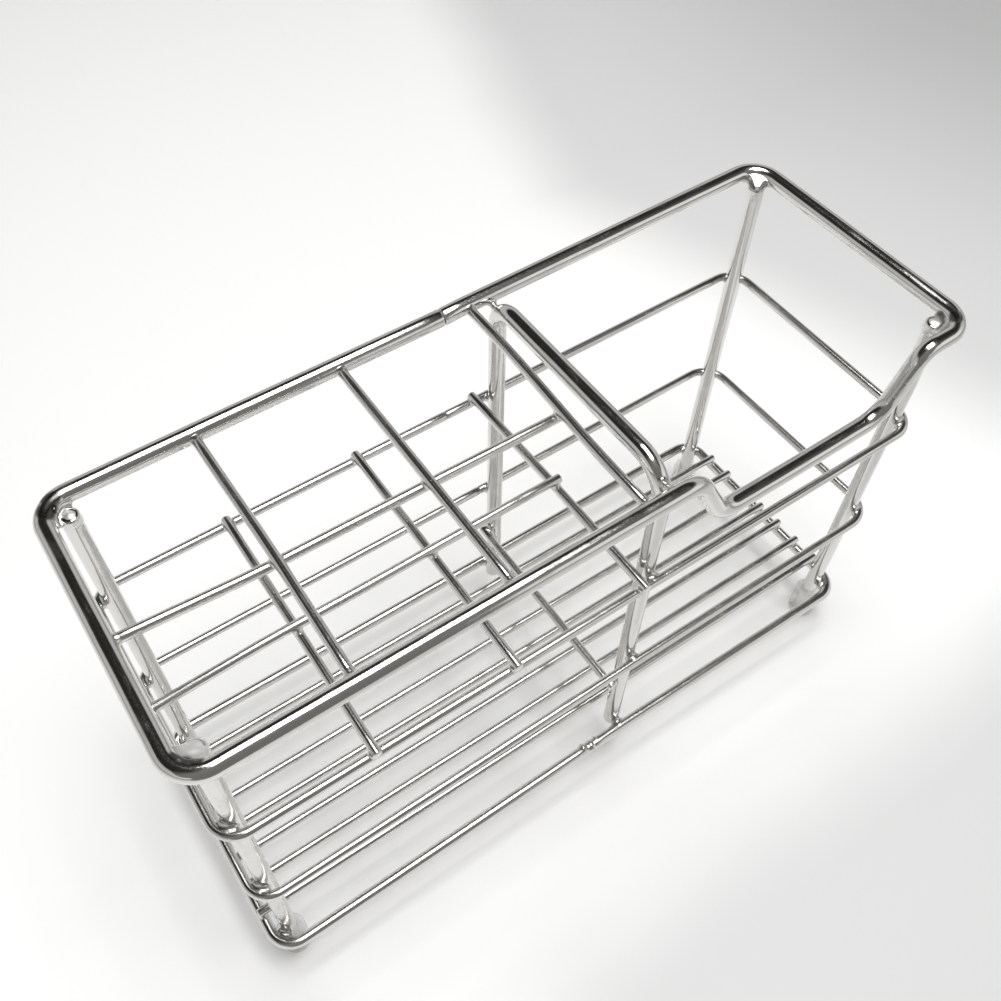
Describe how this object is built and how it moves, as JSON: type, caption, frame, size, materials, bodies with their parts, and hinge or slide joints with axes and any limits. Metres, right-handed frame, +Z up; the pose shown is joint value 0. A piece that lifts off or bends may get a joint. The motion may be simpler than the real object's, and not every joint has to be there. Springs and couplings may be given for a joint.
{
  "type": "toothbrush holder",
  "caption": "Free-standing rectangular wire caddy with toothbrush slots on one side and an open compartment on the other, on capped feet.",
  "frame": {"origin": "middle of the footprint, on the surface the feet stand on", "axes": "+Z up, +X along the length from the toothbrush slots towards the open compartment, -Y towards the lowered front"},
  "size_m": [0.194, 0.0718, 0.128],
  "materials": {
    "steel": "mirror-polished stainless steel wire",
    "cap": "cloudy clear soft plastic"
  },
  "bodies": {
    "root": {"top_rim": "steel", "centre_hoop": "steel", "upper_ring": "steel", "lower_ring": "steel", "base_ring": "steel", "post_front_left": "steel", "post_front_right": "steel", "post_back_left": "steel", "post_back_right": "steel", "rim_cross_bar_1": "steel", "rim_cross_bar_2": "steel", "rim_cross_bar_3": "steel", "rim_long_bar": "steel", "shelf_cross_bar_1": "steel", "shelf_cross_bar_2": "steel", "shelf_cross_bar_3": "steel", "shelf_long_bar": "steel", "leg_brace_bar": "steel", "floor_bar_1": "steel", "floor_bar_2": "steel", "floor_bar_3": "steel", "floor_bar_4": "steel", "floor_bar_5": "steel", "floor_bar_6": "steel", "floor_bar_7": "steel", "foot_cap_front_left": "cap", "foot_cap_front_right": "cap", "foot_cap_back_left": "cap", "foot_cap_back_right": "cap"}
  },
  "joints": []
}
